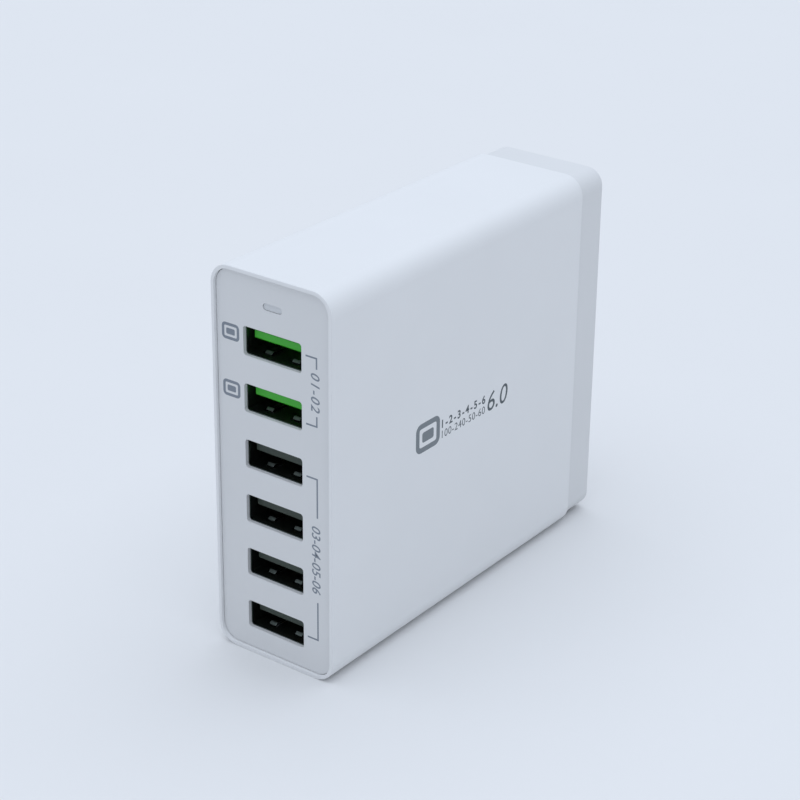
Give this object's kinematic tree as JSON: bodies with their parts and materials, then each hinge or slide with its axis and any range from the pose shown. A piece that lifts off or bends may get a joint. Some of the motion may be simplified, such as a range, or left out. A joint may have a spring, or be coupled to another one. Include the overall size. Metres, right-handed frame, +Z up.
{
  "type": "multi-port usb desktop charger",
  "caption": "Upright white desktop charger block with a column of USB sockets and a status light on its narrow front and a mains inlet in its back cover.",
  "frame": {"origin": "middle of the base that it stands on", "axes": "+Z up, -Y out of the USB sockets, +Y out of the mains inlet, +X to the right seen from the front"},
  "size_m": [0.0264, 0.0844, 0.0742],
  "materials": {
    "sleeve_white": "fine matt moulded, white",
    "panel_white": "fine matt moulded, cool white",
    "cover_white": "fine matt moulded, white",
    "light_pipe_clear": "moulded clear, frosted",
    "socket_steel": "nickel-plated sheet",
    "tongue_green": "moulded green",
    "tongue_dark": "moulded dark grey",
    "contact_gold": "flash gold plate",
    "board_green": "solder mask over glass laminate",
    "insulation_film": "thin film",
    "led_lens": "diffused lens",
    "inlet_black": "moulded black",
    "pin_nickel": "nickel-plated brass",
    "fuse_case": "moulded brown",
    "film_case": "moulded yellow",
    "ferrite": "sintered, matt",
    "copper_wire": "enamelled wire",
    "can_sleeve": "shrunk sleeve over an aluminium can",
    "can_bare": "bare can",
    "bobbin_resin": "moulded black",
    "winding_tape": "polyester tape",
    "sink_aluminium": "mill finish",
    "chip_resin": "moulded epoxy",
    "safety_cap_blue": "moulded epoxy"
  },
  "bodies": {
    "root": {"outer_sleeve": "sleeve_white", "front_panel": "panel_white", "rear_cover": "cover_white", "light_pipe": "light_pipe_clear", "main_board": "board_green", "insulation_sheet": "insulation_film", "status_led": "led_lens", "ac_inlet": "inlet_black", "ac_inlet_pins": "pin_nickel", "fuse": "fuse_case", "x_capacitor": "film_case", "choke_core": "ferrite", "choke_winding": "copper_wire", "bridge_rectifier": "chip_resin", "bulk_capacitor_1": "can_sleeve", "bulk_capacitor_2": "can_sleeve", "transformer_core": "ferrite", "transformer_bobbin": "bobbin_resin", "transformer_winding": "winding_tape", "primary_heat_sink": "sink_aluminium", "primary_transistor": "chip_resin", "secondary_heat_sink": "sink_aluminium", "secondary_rectifier": "chip_resin", "y_capacitor": "safety_cap_blue", "optocoupler": "chip_resin", "pwm_controller": "chip_resin", "output_capacitor_1": "can_bare", "output_capacitor_2": "can_bare", "output_capacitor_3": "can_bare", "buck_inductor_1": "ferrite", "buck_inductor_2": "ferrite", "charge_controller_1": "chip_resin", "charge_controller_2": "chip_resin", "usb_shell_1": "socket_steel", "usb_tongue_1": "tongue_green", "usb_contacts_1": "contact_gold", "usb_shell_2": "socket_steel", "usb_tongue_2": "tongue_green", "usb_contacts_2": "contact_gold", "usb_shell_3": "socket_steel", "usb_tongue_3": "tongue_dark", "usb_contacts_3": "contact_gold", "usb_shell_4": "socket_steel", "usb_tongue_4": "tongue_dark", "usb_contacts_4": "contact_gold", "usb_shell_5": "socket_steel", "usb_tongue_5": "tongue_dark", "usb_contacts_5": "contact_gold", "usb_shell_6": "socket_steel", "usb_tongue_6": "tongue_dark", "usb_contacts_6": "contact_gold"}
  },
  "joints": []
}
